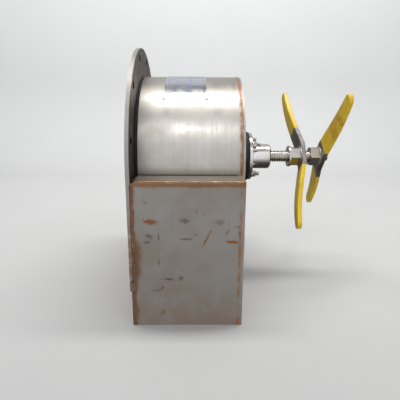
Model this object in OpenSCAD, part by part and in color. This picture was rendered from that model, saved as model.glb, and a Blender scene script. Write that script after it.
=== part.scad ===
// Screw-down disc discharge valve: a spindle draws a round disc off its seat and the product
// leaves through a chute below. +X runs out along the spindle from the centre of the mounting
// face, +Y is across the chute and +Z is up. All sizes are in millimetres.

/* [Mounting plate] */
// Thickness of the plate
plate_t = 8; // [6:0.5:16]
// Radius of the round top, and half the width of the straight sides
plate_r = 216; // [210:1:240]
// From the spindle axis down to the plate's lower edge
plate_drop = 208; // [206:1:240]
// From the plate's edge in to the centres of the bolt holes
bolt_inset = 16; // [12:0.5:22]
// Number of bolt holes
bolt_count = 12; // [8:4:16]
// Diameter of a bolt hole
bolt_hole_d = 14; // [9:0.5:18]
// Diameter of the round inlet
port_d = 280; // [200:1:284]
// Height of the slot in the plate's front edge
notch_h = 8; // [4:0.5:14]
// From the plate's lower edge up to that slot
notch_rise = 17; // [8:0.5:40]
// How deep that slot runs in
notch_depth = 6; // [3:0.5:10]

/* [Housing] */
// Outside diameter of the drum
drum_d = 324; // [318:1:340]
// Thickness of the rolled and folded sheet
sheet_t = 3; // [2:0.5:5]
// From the plate's inner face to the outer face of the end wall
housing_len = 189; // [184:1:260]
// Thickness of the chute's end wall
end_wall_t = 6; // [3:0.5:8]
// Thickness of the drum's round end plate
end_plate_t = 5; // [4:0.5:10]
// Thickness of the wall below the mounting plate
inlet_wall_t = 4.5; // [3:0.5:6]
// How far the chute's side walls stand out past the mounting plate
chute_overhang = 2; // [1:0.5:20]
// From the spindle axis down to the outlet rim
chute_drop = 272.5; // [240:0.5:400]
// From the spindle axis down to the top of the shoulders
shoulder_drop = 11; // [8:0.5:30]
// Thickness of the seal between plate and housing
joint_t = 5; // [3:0.5:8]
// Width of that seal
joint_w = 10; // [6:0.5:14]
// How far the seal stands back from the sheet's outer face
joint_recess = 1.5; // [0.5:0.25:2.5]

/* [Name plate] */
// Length along the drum
label_len = 77; // [40:1:120]
// Length round the drum
label_arc = 105; // [40:1:120]
// Thickness of the name plate
label_t = 1; // [0.5:0.25:2]
// From the mounting plate to the name plate's near edge
label_x = 49; // [20:1:80]
// Angle of its lower edge above the front of the drum
label_angle = 48.2; // [30:0.1:60]
// Radius of a tack dot
tack_r = 2.4; // [1.5:0.1:4]

/* [Seat and disc] */
// How far the seat ring stands in from the plate
seat_len = 14; // [6:0.5:24]
// Wall of the seat ring
seat_wall = 10; // [5:0.5:10]
// Diameter of the disc
disc_d = 308; // [300:1:310]
// Thickness of the disc
disc_t = 8; // [5:0.5:12]
// Thickness of the disc's seal ring
disc_seal_t = 6; // [5:0.5:10]
// Width of the seal ring
disc_seal_w = 18; // [14:0.5:24]
// Thickness of the plate that holds the seal ring
retainer_t = 5; // [3:0.5:5]
// Number of screws in that plate
retainer_screws_n = 6; // [4:1:12]
// From that plate's edge in to its screws
retainer_screw_inset = 16; // [12:0.5:30]
// Lift of the disc off its seat as the valve stands
disc_lift = 30.3; // [20:0.1:38]

/* [Swivel] */
// Outside diameter of the swivel housing
swivel_d = 68; // [62:1:90]
// Floor of the swivel housing
swivel_floor_t = 4; // [3:0.5:8]
// Thickness of a thrust washer
thrust_t = 4; // [2:0.5:6]
// Thickness of the spindle's collar
collar_t = 10; // [6:0.5:16]
// Diameter of the spindle's collar
collar_d = 42; // [36:1:44]
// Thickness of the swivel cap
cap_t = 8; // [6:0.5:14]
// Number of ribs on the back of the disc
rib_count = 4; // [3:1:8]
// Thickness of a rib
rib_t = 6; // [4:0.5:10]
// How far the ribs reach out from the axis
rib_reach = 118; // [80:1:140]
// Height of a rib at its outer end
rib_end_h = 4; // [2:0.5:10]
// Depth of the cap's screws in the swivel housing
cap_screw_depth = 12; // [8:0.5:14]

/* [Spindle] */
// Diameter over the thread
spindle_d = 24; // [20:0.5:26]
// Side of the square end
square_w = 16; // [12:0.5:16.5]
// Diameter of the screw in the spindle's end
end_screw_d = 10; // [8:1:10]

/* [Gland and bushing] */
// Diameter of the black gland disc
gland_d = 104; // [102:1:130]
// Thickness of the gland disc
gland_t = 23; // [16:0.5:40]
// Thickness of its floor, behind the packing
gland_floor_t = 5; // [3:0.5:8]
// Outside diameter of the packing
packing_d = 40; // [34:1:48]
// Number of packing rings
packing_count = 3; // [2:1:5]
// Diameter of the bushing's flange
flange_d = 100; // [98:1:120]
// Thickness of the bushing's flange
flange_t = 7; // [4:0.5:14]
// Diameter of the bushing's hub
hub_d = 52; // [44:1:60]
// Length of the hub in front of the flange
hub_len = 41; // [25:0.5:70]
// Chamfer on the hub's nose
hub_chamfer = 3; // [1:0.5:5]
// Diameter of the circle of studs
stud_circle_d = 86; // [80:1:88]
// Diameter of a stud
stud_d = 8; // [6:1:10]
// Number of studs
stud_count = 4; // [3:1:4]
// How far a stud stands out of the flange
stud_out = 16; // [14:0.5:26]
// Turn of the stud pattern
stud_angle = 50; // [0:1:90]

/* [Nuts] */
// Size across the flats of the two large nuts
nut_af = 36; // [34:1:46]
// Height of the large nuts
nut_h = 21.5; // [12:0.5:26]
// Diameter of the lock washer
lock_washer_d = 44; // [38:1:60]
// Thickness of the lock washer
lock_washer_t = 4; // [2:0.5:6]
// Space between the hub and the lock washer as the valve stands
lock_gap = 40; // [39.8:0.1:60]
// Space between the lock lever and the hand nut as the valve stands
hand_gap = 10; // [9.3:0.1:20]

/* [Levers] */
// Thickness of a lever
lever_t = 9.5; // [6:0.5:14]
// Length of an arm from the spindle axis to its tip
lever_reach = 164; // [110:1:200]
// Width at the middle of the lever
lever_hub_w = 44; // [42:1:56]
// Width halfway along an arm
lever_mid_w = 37; // [26:0.5:42]
// Width at the tip
lever_tip_w = 21; // [14:0.5:26]
// How far the lock lever's tips are bent back towards the housing
lock_lever_bend = 22; // [5:0.5:26]
// How far the hand lever's tips are bent out
hand_lever_bend = 13; // [5:0.5:30]
// Angle of the lock lever above the horizontal, its upper arm to the rear
lock_lever_angle = 52; // [0:1:180]
// Angle of the hand lever above the horizontal, its upper arm to the front
hand_lever_angle = 50; // [0:1:180]

/* [Clearances] */
// Radial gap between the spindle and what it turns in
run_gap = 0.08; // [0.03:0.01:0.1]
// Radial gap round a screw, stud or nut that stays where it is put
fixed_gap = 0.05; // [0.02:0.01:0.1]
// Gap between pieces that pass each other loosely
loose_gap = 0.5; // [0.3:0.1:1]
// End play of the spindle's collar
end_play = 0.2; // [0.1:0.05:0.4]

/* [Hidden] */

$fn = 96;
far = 600;             // longer than the valve, for cuts that run right through
cut = 1;               // how far a cutting tool stands past a face

stainless = [0.62, 0.60, 0.57];
bright_steel = [0.78, 0.78, 0.77];
black_rubber = [0.05, 0.05, 0.05];
yellow_paint = [0.87, 0.70, 0.12];
bronze = [0.70, 0.52, 0.28];
packing_white = [0.85, 0.84, 0.80];
aluminium = [0.82, 0.83, 0.84];

// Radii and half widths
drum_r = drum_d / 2;
drum_in_r = drum_r - sheet_t;
port_r = port_d / 2;
seat_r = port_r + seat_wall;
chute_half = plate_r + chute_overhang;
bolt_circle_r = plate_r - bolt_inset;
spindle_r = spindle_d / 2;

// Stations along the spindle axis, from the mounting face outwards
x_shell = plate_t + joint_t;
x_end_out = plate_t + housing_len;
x_end_in = x_end_out - end_wall_t;
x_cover = x_end_out + end_plate_t;
x_gland = x_cover + gland_t;
x_flange = x_gland + flange_t;
x_hub = x_flange + hub_len;
x_lock_washer = x_hub + lock_gap;
x_lock_nut = x_lock_washer + lock_washer_t;
x_lock_lever = x_lock_nut + nut_h;
x_hand_nut = x_lock_lever + lever_t + hand_gap;
x_hand_lever = x_hand_nut + nut_h;
x_end_washer = x_hand_lever + lever_t;

// Stations of the disc assembly
x_seal = plate_t + seat_len + disc_lift;
x_disc = x_seal + disc_seal_t;
x_swivel = x_disc + disc_t;
x_thrust_in = x_swivel + swivel_floor_t;
x_collar = x_thrust_in + thrust_t + end_play;
x_thrust_out = x_collar + collar_t + end_play;
x_cap = x_thrust_out + thrust_t;
x_cap_top = x_cap + cap_t;

// Disc seal and the plate inside it
disc_r = disc_d / 2;
disc_seal_r = disc_r - 1;
retainer_r = disc_seal_r - disc_seal_w - fixed_gap;
retainer_circle_r = retainer_r - retainer_screw_inset;
retainer_screw_d = 8;

// Swivel
collar_r = collar_d / 2;
cavity_r = collar_r + loose_gap;
swivel_r = swivel_d / 2;
cap_screw_d = 5;
cap_screw_count = 4;
cap_circle_r = (cavity_r + swivel_r) / 2;

// Name plate, as angles round the drum
label_turn = label_arc / drum_r * 180 / PI;
label_top_angle = 180 - label_angle - label_turn;

// Gland and packing
packing_r = packing_d / 2;
packing_depth = gland_t - gland_floor_t;
ring_t = packing_depth / packing_count;

// Fasteners
washer_wall = 3.5;
washer_t = 1.6;
small_nut_h = stud_d * 0.8;
small_nut_af = stud_d * 1.625;
end_screw_af = end_screw_d * 1.7;
hole_spare = 2;        // how much deeper a blind hole runs than its screw
end_washer_d = 26;
end_washer_t = 2.5;
end_screw_len = 22;
end_screw_head_h = 6.4;
small_gap = 0.1;

// ---------------------------------------------------------------- helpers

// Turns a shape so that its own X, Y and Z lie along the valve's Y, Z and X
module along_x(x = 0) {
    translate([x, 0, 0]) rotate([90, 0, 90]) children();
}

// Disc or ring round the spindle axis
module ring(x, len, outer_r, inner_r = 0) {
    along_x(x) difference() {
        cylinder(r = outer_r, h = len);
        if (inner_r > 0) translate([0, 0, -cut]) cylinder(r = inner_r, h = len + 2 * cut);
    }
}

// Copies on a circle round the spindle axis
module on_circle(radius, count, start = 0) {
    for (i = [0 : count - 1])
        rotate([start + i * 360 / count, 0, 0]) translate([0, radius, 0]) children();
}

// Hexagonal body with both ends turned to a shallow cone, as nuts and screw heads are
module hex_body(x, len, across_flats) {
    corner_r = across_flats / 2 / cos(30);
    face_r = across_flats / 2 * 0.97;
    slope = (corner_r - face_r) * tan(31);
    along_x(x) intersection() {
        cylinder(r = corner_r, h = len, $fn = 6);
        rotate_extrude() polygon([[0, 0], [face_r, 0], [corner_r, slope],
            [corner_r, len - slope], [face_r, len], [0, len]]);
    }
}

module hex_nut(x, len, across_flats, bore_r) {
    difference() {
        hex_body(x, len, across_flats);
        ring(x - cut, len + 2 * cut, bore_r);
    }
}

// ---------------------------------------------------------------- housing

module mounting_plate() {
    color(stainless) difference() {
        along_x() linear_extrude(plate_t) intersection() {
            union() {
                circle(r = plate_r, $fn = 180);
                translate([-plate_r, -plate_drop]) square([2 * plate_r, plate_drop]);
            }
            translate([-far / 2, -plate_drop]) square(far);
        }
        ring(-cut, plate_t + 2 * cut, port_r);
        on_circle(bolt_circle_r, bolt_count, 180 / bolt_count)
            ring(-cut, plate_t + 2 * cut, bolt_hole_d / 2);
        translate([-cut, -plate_r - cut, notch_rise - plate_drop])
            cube([plate_t + 2 * cut, notch_depth + cut, notch_h]);
    }
}

module seat_ring() {
    bevel = seat_wall * 0.3;
    color(bright_steel) along_x(plate_t) rotate_extrude()
        polygon([[port_r, 0], [seat_r, 0], [seat_r, seat_len - bevel],
            [seat_r - bevel, seat_len], [port_r, seat_len]]);
}

// Black seal: an arch under the drum's edge with a foot under each shoulder
module joint_seal() {
    seal_r = drum_r - joint_recess;
    foot_top = shoulder_drop + joint_recess;
    foot_end = chute_half - sheet_t;
    color(black_rubber) along_x(plate_t) linear_extrude(joint_t) difference() {
        union() {
            circle(r = seal_r);
            translate([-foot_end, -foot_top - joint_w]) square([2 * foot_end, joint_w]);
        }
        circle(r = seal_r - joint_w);
        translate([-far / 2, -far - foot_top - joint_w]) square(far);
    }
}

module drum_shell() {
    color(stainless) difference() {
        ring(x_shell, x_end_out - x_shell, drum_r, drum_in_r);
        translate([0, -far / 2, -far - shoulder_drop]) cube(far);
    }
}

module end_plate() {
    color(stainless) difference() {
        ring(x_end_out, end_plate_t, drum_r, spindle_r + loose_gap);
        on_circle(stud_circle_d / 2, stud_count, stud_angle)
            ring(x_end_out - cut, end_plate_t + 2 * cut, stud_d / 2 + fixed_gap);
    }
}

module chute_side_wall(side) {
    color(stainless) translate([plate_t, side * (chute_half - sheet_t / 2) - sheet_t / 2, -chute_drop])
        cube([x_end_in - plate_t, sheet_t, chute_drop - shoulder_drop - sheet_t]);
}

module chute_front_wall() { chute_side_wall(-1); }

module chute_rear_wall() { chute_side_wall(1); }

// The end wall's upper edge is cut round the spindle
module chute_end_wall() {
    color(stainless) difference() {
        translate([x_end_in, -chute_half, -chute_drop])
            cube([end_wall_t, 2 * chute_half, chute_drop - shoulder_drop]);
        ring(x_end_in - cut, end_wall_t + 2 * cut, packing_r);
    }
}

module chute_inlet_wall() {
    color(stainless) translate([plate_t - inlet_wall_t, -chute_half, -chute_drop])
        cube([inlet_wall_t, 2 * chute_half, chute_drop - plate_drop]);
}

// A shoulder runs from under the drum's edge out over the side wall
module shoulder(side) {
    inner = sqrt(pow(drum_in_r, 2) - pow(shoulder_drop, 2));
    wide = chute_half - inner;
    color(stainless) translate([x_shell, side * (inner + wide / 2) - wide / 2, -shoulder_drop - sheet_t])
        cube([x_end_in - x_shell, wide, sheet_t]);
}

module front_shoulder() { shoulder(-1); }

module rear_shoulder() { shoulder(1); }

// ---------------------------------------------------------------- name plate

module name_plate() {
    color(aluminium) along_x(plate_t + label_x) rotate([0, 0, label_top_angle])
        rotate_extrude(angle = label_turn, $fn = 180)
            translate([drum_r, 0]) square([label_t, label_len]);
}

// Four domed weld dots, one at each corner of the name plate
module name_plate_tacks() {
    clear_turn = (tack_r + small_gap) / drum_r * 180 / PI;
    color(bright_steel)
        for (along = [0, label_len], turn = [-clear_turn, label_turn + clear_turn])
            rotate([label_top_angle + turn, 0, 0])
                translate([plate_t + label_x + along, drum_r, 0]) rotate([-90, 0, 0])
                    rotate_extrude($fn = 32) intersection() {
                        circle(r = tack_r, $fn = 32);
                        square(tack_r);
                    }
}

// ---------------------------------------------------------------- gland and bushing

module on_studs() {
    on_circle(stud_circle_d / 2, stud_count, stud_angle) children();
}

module gland_disc() {
    edge = 1.5;
    color(black_rubber) difference() {
        along_x(x_cover) rotate_extrude() polygon([[0, 0], [gland_d / 2, 0],
            [gland_d / 2, gland_t - edge], [gland_d / 2 - edge, gland_t], [0, gland_t]]);
        ring(x_cover - cut, gland_t + 2 * cut, spindle_r + loose_gap);
        ring(x_gland - packing_depth, packing_depth + cut, packing_r);
        on_studs() ring(x_cover - cut, gland_t + 2 * cut, stud_d / 2 + loose_gap);
    }
}

module packing_rings() {
    color(packing_white) for (i = [0 : packing_count - 1])
        ring(x_gland - packing_depth + i * ring_t + small_gap / 2, ring_t - small_gap,
            packing_r - fixed_gap, spindle_r + run_gap);
}

module spindle_bushing() {
    step = 1;
    color(bright_steel) difference() {
        along_x(x_gland) rotate_extrude() polygon([[0, 0], [flange_d / 2 - step, 0],
            [flange_d / 2, step], [flange_d / 2, flange_t - step],
            [flange_d / 2 - step, flange_t], [hub_d / 2, flange_t],
            [hub_d / 2, flange_t + hub_len - hub_chamfer],
            [hub_d / 2 - hub_chamfer, flange_t + hub_len], [0, flange_t + hub_len]]);
        ring(x_gland - cut, flange_t + hub_len + 2 * cut, spindle_r + run_gap);
        on_studs() ring(x_gland - cut, flange_t + 2 * cut, stud_d / 2 + loose_gap);
    }
}

module bushing_studs() {
    tip = stud_d * 0.12;
    len = x_flange + stud_out - x_end_out;
    color(bright_steel) on_studs() along_x(x_end_out) rotate_extrude($fn = 48)
        polygon([[0, 0], [stud_d / 2, 0], [stud_d / 2, len - tip], [stud_d / 2 - tip, len], [0, len]]);
}

module bushing_washers() {
    color(bright_steel) on_studs()
        ring(x_flange, washer_t, stud_d / 2 + washer_wall, stud_d / 2 + fixed_gap, $fn = 48);
}

module bushing_nuts() {
    color(bright_steel) on_studs()
        hex_nut(x_flange + washer_t, small_nut_h, small_nut_af, stud_d / 2 + fixed_gap, $fn = 48);
}

// ---------------------------------------------------------------- disc assembly

module valve_disc() {
    color(stainless) difference() {
        along_x(x_disc) rotate_extrude($fn = 180) polygon([[0, 0], [disc_r, 0],
            [disc_r, disc_t - 1], [disc_r - 1, disc_t], [0, disc_t]]);
        on_circle(retainer_circle_r, retainer_screws_n)
            ring(x_disc - cut, disc_t + 2 * cut, retainer_screw_d / 2 + fixed_gap);
    }
}

module disc_seal() {
    bead = 1;
    inner = disc_seal_r - disc_seal_w;
    color(black_rubber) along_x(x_seal) rotate_extrude() polygon([[inner, bead],
        [inner + bead, 0], [disc_seal_r - bead, 0], [disc_seal_r, bead],
        [disc_seal_r, disc_seal_t], [inner, disc_seal_t]]);
}

module seal_retainer() {
    color(bright_steel) difference() {
        along_x(x_disc - retainer_t) rotate_extrude() polygon([[0, 0], [retainer_r - 1, 0],
            [retainer_r, 1], [retainer_r, retainer_t], [0, retainer_t]]);
        on_circle(retainer_circle_r, retainer_screws_n)
            along_x(x_disc - retainer_t) countersink(fixed_gap);
    }
}

// Room for a flat-headed screw, or the screw itself where gap is 0
module countersink(gap) {
    shank_r = retainer_screw_d / 2 + gap;
    head_r = retainer_screw_d + gap;
    skin = 0.5;
    end = retainer_t + disc_t - skin;
    sunk = min(retainer_screw_d / 2, retainer_t - skin);
    rotate_extrude($fn = 48) polygon([[0, gap > 0 ? -cut : 0], [head_r, gap > 0 ? -cut : 0],
        [head_r, 0], [shank_r, sunk], [shank_r, end], [0, end]]);
}

module retainer_screws() {
    color(bright_steel) on_circle(retainer_circle_r, retainer_screws_n)
        along_x(x_disc - retainer_t) countersink(0);
}

// Round box on the disc's back, with tapered ribs out across the disc
module swivel_housing() {
    len = x_cap - x_swivel;
    root_h = len * 0.8;
    hole = cap_screw_depth + hole_spare;
    color(stainless) difference() {
        union() {
            ring(x_swivel, len, swivel_r);
            for (i = [0 : rib_count - 1]) rotate([45 + i * 360 / rib_count, 0, 0])
                translate([x_swivel, 0, -rib_t / 2]) linear_extrude(rib_t)
                    polygon([[0, 0], [root_h, 0], [root_h, swivel_r], [rib_end_h, rib_reach],
                        [0, rib_reach]]);
        }
        ring(x_thrust_in, len, cavity_r);
        cap_screw_places() ring(x_cap - hole, hole + cut, cap_screw_d / 2 + fixed_gap, $fn = 48);
    }
}

module cap_screw_places() {
    on_circle(cap_circle_r, cap_screw_count, 0) children();
}

module swivel_cap() {
    color(stainless) difference() {
        ring(x_cap, cap_t, swivel_r, spindle_r + run_gap);
        cap_screw_places() ring(x_cap - cut, cap_t + 2 * cut, cap_screw_d / 2 + fixed_gap, $fn = 48);
    }
}

module cap_screws() {
    head_r = cap_screw_d * 0.85;
    color(bright_steel) cap_screw_places() {
        ring(x_cap - cap_screw_depth, cap_screw_depth + cap_t, cap_screw_d / 2, $fn = 48);
        difference() {
            ring(x_cap_top, cap_screw_d, head_r, $fn = 48);
            along_x(x_cap_top + cap_screw_d / 2) cylinder(d = cap_screw_d, h = far, $fn = 6);
        }
    }
}

module thrust_washers() {
    color(bronze) for (x = [x_thrust_in, x_thrust_out])
        ring(x, thrust_t, cavity_r - fixed_gap, spindle_r + loose_gap);
}

// ---------------------------------------------------------------- spindle

module spindle() {
    pilot = x_thrust_in + small_gap;
    color(bright_steel) difference() {
        union() {
            ring(pilot, x_hand_lever - pilot, spindle_r);
            ring(x_collar, collar_t, collar_r);
            along_x(x_hand_lever) translate([-square_w / 2, -square_w / 2, 0])
                cube([square_w, square_w, lever_t - small_gap]);
        }
        ring(x_end_washer - end_screw_len - cut, end_screw_len + 2 * cut, end_screw_d / 2 + fixed_gap);
    }
}

// Outline of a two-armed lever along its own X, widest at the middle and round at both tips
lever_steps = 14;
tip_steps = 8;
lever_curve = 2 * lever_hub_w + 2 * lever_tip_w - 4 * lever_mid_w;
lever_slope = lever_tip_w - lever_hub_w - lever_curve;
function half_width(u) = (lever_hub_w + lever_slope * u + lever_curve * u * u) / 2;
tip_u = 1 - lever_tip_w / 2 / lever_reach;
tip_r = half_width(tip_u);
function arm_side(sign) = [for (i = [0 : lever_steps])
    let (u = tip_u * i / lever_steps) [u * lever_reach, sign * half_width(u)]];
function tip_arc() = [for (i = [1 : tip_steps - 1])
    let (a = -90 + 180 * i / tip_steps) [tip_u * lever_reach + tip_r * cos(a), tip_r * sin(a)]];
function reversed(list) = [for (i = [len(list) - 1 : -1 : 0]) list[i]];
arm_outline = concat([[0, -lever_hub_w / 2]], arm_side(-1), tip_arc(), reversed(arm_side(1)));

// A lever seen from the side: flat across the nut, then a quarter sine wave on each arm that
// levels out at the tip
flat_r = nut_af / 2 / cos(30) + 1;
function half_bend(side, bend, offset) = [for (i = [0 : lever_steps])
    [side * (flat_r + (lever_reach - flat_r) * i / lever_steps),
        bend * sin(90 * i / lever_steps) + offset]];
function bend_line(bend, offset) =
    concat(reversed(half_bend(-1, bend, offset)), half_bend(1, bend, offset));

// Both outlines crossed: the plan along X, and the bent strip seen from the side
module lever_blade(x, bend, angle) {
    wide = lever_hub_w + 2;
    reach = [[lever_reach + cut, 0]];
    translate([x, 0, 0]) rotate([angle, 0, 0]) intersection() {
        rotate([90, 0, 90]) translate([0, 0, -far / 2]) linear_extrude(far) {
            polygon(arm_outline);
            rotate(180) polygon(arm_outline);
        }
        translate([0, 0, -wide / 2]) linear_extrude(wide) rotate(90) scale([1, -1])
            polygon(concat(bend_line(bend, 0), reversed(bend_line(bend, lever_t))));
    }
}

module hand_nut() {
    color(bright_steel) hex_nut(x_hand_nut, nut_h, nut_af, spindle_r + fixed_gap);
}

module hand_lever() {
    hole = square_w + 2 * fixed_gap;
    color(yellow_paint) difference() {
        lever_blade(x_hand_lever, hand_lever_bend, 180 - hand_lever_angle);
        along_x(x_hand_lever - cut) translate([-hole / 2, -hole / 2, 0])
            cube([hole, hole, lever_t + 2 * cut]);
    }
}

module end_washer() {
    color(bright_steel) ring(x_end_washer, end_washer_t, end_washer_d / 2, end_screw_d / 2 + fixed_gap);
}

module end_screw() {
    color(bright_steel) {
        hex_body(x_end_washer + end_washer_t, end_screw_head_h, end_screw_af);
        ring(x_end_washer - end_screw_len, end_screw_len + end_washer_t, end_screw_d / 2);
    }
}

// ---------------------------------------------------------------- lock nut

module lock_washer() {
    color(bright_steel) ring(x_lock_washer, lock_washer_t, lock_washer_d / 2, spindle_r + run_gap);
}

module lock_nut() {
    color(bright_steel) hex_nut(x_lock_nut, nut_h, nut_af, spindle_r + run_gap);
}

module lock_lever() {
    color(yellow_paint) difference() {
        lever_blade(x_lock_lever, -lock_lever_bend, lock_lever_angle);
        ring(x_lock_lever - cut, lever_t + 2 * cut, spindle_r + loose_gap);
    }
}

mounting_plate();
seat_ring();
joint_seal();
drum_shell();
end_plate();
chute_front_wall();
chute_rear_wall();
chute_end_wall();
chute_inlet_wall();
front_shoulder();
rear_shoulder();
name_plate();
name_plate_tacks();
gland_disc();
packing_rings();
spindle_bushing();
bushing_studs();
bushing_washers();
bushing_nuts();
valve_disc();
disc_seal();
seal_retainer();
retainer_screws();
swivel_housing();
swivel_cap();
cap_screws();
thrust_washers();
spindle();
hand_nut();
hand_lever();
end_washer();
end_screw();
lock_washer();
lock_nut();
lock_lever();
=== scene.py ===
import math

import bmesh
import bpy
import numpy as np
from mathutils import Matrix, Vector


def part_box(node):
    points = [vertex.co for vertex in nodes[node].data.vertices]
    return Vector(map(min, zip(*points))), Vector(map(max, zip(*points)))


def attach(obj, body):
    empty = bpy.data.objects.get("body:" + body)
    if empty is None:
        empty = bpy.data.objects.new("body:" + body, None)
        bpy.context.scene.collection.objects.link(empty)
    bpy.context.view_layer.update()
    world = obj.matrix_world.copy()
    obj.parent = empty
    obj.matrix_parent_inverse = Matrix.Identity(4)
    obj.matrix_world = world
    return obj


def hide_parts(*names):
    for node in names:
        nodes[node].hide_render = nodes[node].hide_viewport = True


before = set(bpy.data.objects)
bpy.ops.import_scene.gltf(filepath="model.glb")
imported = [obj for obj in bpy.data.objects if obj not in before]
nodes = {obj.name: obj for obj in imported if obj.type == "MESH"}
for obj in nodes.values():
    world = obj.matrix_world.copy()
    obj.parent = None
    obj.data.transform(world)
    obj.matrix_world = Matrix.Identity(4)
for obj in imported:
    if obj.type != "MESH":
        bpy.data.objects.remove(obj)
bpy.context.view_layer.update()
mm = 0.001
print("frame loaded,", len(nodes), "nodes")


def addSurface(name, grids, body, creaseDegrees=32):
    # grids: list of (points[rows, columns, 3], closedRows, closedColumns); each becomes quads
    allPoints = []
    allFaces = []
    start = 0
    for points, closedRows, closedColumns in grids:
        rows, columns = points.shape[:2]
        index = np.arange(rows * columns).reshape(rows, columns) + start
        if closedRows:
            index = np.vstack([index, index[:1]])
        if closedColumns:
            index = np.hstack([index, index[:, :1]])
        quads = np.stack([index[:-1, :-1], index[:-1, 1:], index[1:, 1:], index[1:, :-1]], axis=-1)
        allPoints.append(points.reshape(-1, 3))
        allFaces.append(quads.reshape(-1, 4))
        start += rows * columns
    mesh = bpy.data.meshes.new(name)
    mesh.from_pydata(np.vstack(allPoints).tolist(), [], np.vstack(allFaces).tolist())
    tidyMesh(mesh, creaseDegrees)
    piece = bpy.data.objects.new(name, mesh)
    bpy.context.scene.collection.objects.link(piece)
    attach(piece, body)
    return piece


def tidyMesh(mesh, creaseDegrees):
    # merged doubles close the poles and seams, then the faces are turned outwards
    work = bmesh.new()
    work.from_mesh(mesh)
    bmesh.ops.remove_doubles(work, verts=work.verts, dist=2e-6)
    bmesh.ops.dissolve_degenerate(work, edges=work.edges, dist=1e-6)
    bmesh.ops.recalc_face_normals(work, faces=work.faces)
    work.to_mesh(mesh)
    work.free()
    mesh.shade_smooth()
    mesh.set_sharp_from_angle(angle=math.radians(creaseDegrees))


def turned(rows, columns=64):
    # rows of (x, radius) turned about the spindle axis: y = radius cos a, z = radius sin a
    rows = np.array(rows, float)
    a = np.linspace(0, 2 * np.pi, columns, endpoint=False)
    x = np.repeat(rows[:, :1], columns, axis=1)
    y = rows[:, 1:] * np.cos(a)
    z = rows[:, 1:] * np.sin(a)
    return np.stack([x, y, z], axis=-1)


def beadAlong(path, width, height, side, up, ripple=0.12, pitch=3.2 * mm, seed=1, around=9):
    # a low half-round bead carried along a path; its height ripples like a row of overlapping drops
    path = np.array(path, float)
    step = np.linalg.norm(np.diff(path, axis=0), axis=1)
    s = np.concatenate([[0], np.cumsum(step)])
    random = np.random.default_rng(seed)
    phase = random.uniform(0, 6, 4)
    drops = np.abs(np.sin(np.pi * s / pitch + 0.8 * np.sin(s / (17 * mm) + phase[0])))
    slowWaves = 0.10 * np.sin(s / (23 * mm) + phase[1]) * np.sin(s / (9 * mm) + phase[2])
    swell = 1 + ripple * (drops - 0.6) + slowWaves
    ends = np.clip(np.minimum(s, s[-1] - s) / (2.5 * mm), 0, 1)
    taper = np.sqrt(np.clip(1 - (1 - ends) ** 2, 0, 1))
    a = np.linspace(0, 2 * np.pi, around * 2, endpoint=False)
    side = np.broadcast_to(np.array(side, float), path.shape)
    up = np.broadcast_to(np.array(up, float), path.shape)
    grow = (swell * taper)[:, None, None]
    return (path[:, None, :]
            + grow * width / 2 * np.cos(a)[None, :, None] * side[:, None, :]
            + grow * height * np.sin(a)[None, :, None] * up[:, None, :])


def startMaterial(name):
    material = bpy.data.materials.new(name)
    material.use_nodes = True
    tree = material.node_tree
    surface = tree.nodes["Principled BSDF"]
    place = tree.nodes.new("ShaderNodeTexCoord").outputs["Object"]
    return material, tree, surface, place


def put(tree, value, socket):
    if isinstance(value, bpy.types.NodeSocket):
        tree.links.new(value, socket)
    elif isinstance(value, (tuple, list)) and len(value) == 3 and socket.type == "RGBA":
        socket.default_value = (*value, 1)
    else:
        socket.default_value = value


def calc(tree, operation, first, second=0.0):
    node = tree.nodes.new("ShaderNodeMath")
    node.operation = operation
    put(tree, first, node.inputs[0])
    put(tree, second, node.inputs[1])
    return node.outputs[0]


def plus(tree, first, second):
    return calc(tree, "ADD", first, second)


def minus(tree, first, second):
    return calc(tree, "SUBTRACT", first, second)


def times(tree, first, second):
    return calc(tree, "MULTIPLY", first, second)


def fade(tree, value, fromValue, toValue, low=0.0, high=1.0):
    # a smooth step of value from low at fromValue to high at toValue
    node = tree.nodes.new("ShaderNodeMapRange")
    node.interpolation_type = "SMOOTHSTEP"
    put(tree, value, node.inputs["Value"])
    for key, number in (("From Min", fromValue), ("From Max", toValue), ("To Min", low), ("To Max", high)):
        node.inputs[key].default_value = number
    return node.outputs[0]


def mapped(tree, place, scale=(1, 1, 1), shift=(0, 0, 0), turn=(0, 0, 0), kind="POINT"):
    node = tree.nodes.new("ShaderNodeMapping")
    node.vector_type = kind
    put(tree, place, node.inputs["Vector"])
    node.inputs["Location"].default_value = shift
    node.inputs["Rotation"].default_value = turn
    node.inputs["Scale"].default_value = scale
    return node.outputs[0]


def grain(tree, place, scale, detail=3.0, rough=0.55):
    node = tree.nodes.new("ShaderNodeTexNoise")
    put(tree, place, node.inputs["Vector"])
    node.inputs["Scale"].default_value = scale
    node.inputs["Detail"].default_value = detail
    node.inputs["Roughness"].default_value = rough
    return node.outputs["Fac"]


def axes(tree, place):
    node = tree.nodes.new("ShaderNodeSeparateXYZ")
    put(tree, place, node.inputs[0])
    return node.outputs[0], node.outputs[1], node.outputs[2]


def tint(tree, amount, first, second):
    node = tree.nodes.new("ShaderNodeMix")
    node.data_type = "RGBA"
    put(tree, amount, node.inputs[0])
    put(tree, first, node.inputs[6])
    put(tree, second, node.inputs[7])
    return node.outputs[2]


def spot(tree, place, centre, size, turn=0.0, wobble=None):
    # 1 at centre, fading to 0 on an ellipse of the given half sizes, turned about Y
    node = mapped(tree, place, scale=size, shift=centre, turn=(0, turn, 0), kind="TEXTURE")
    reach = tree.nodes.new("ShaderNodeVectorMath")
    reach.operation = "LENGTH"
    put(tree, node, reach.inputs[0])
    length = reach.outputs["Value"]
    if wobble is not None:
        length = plus(tree, length, wobble)
    return fade(tree, length, 1.0, 0.25)


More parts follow.
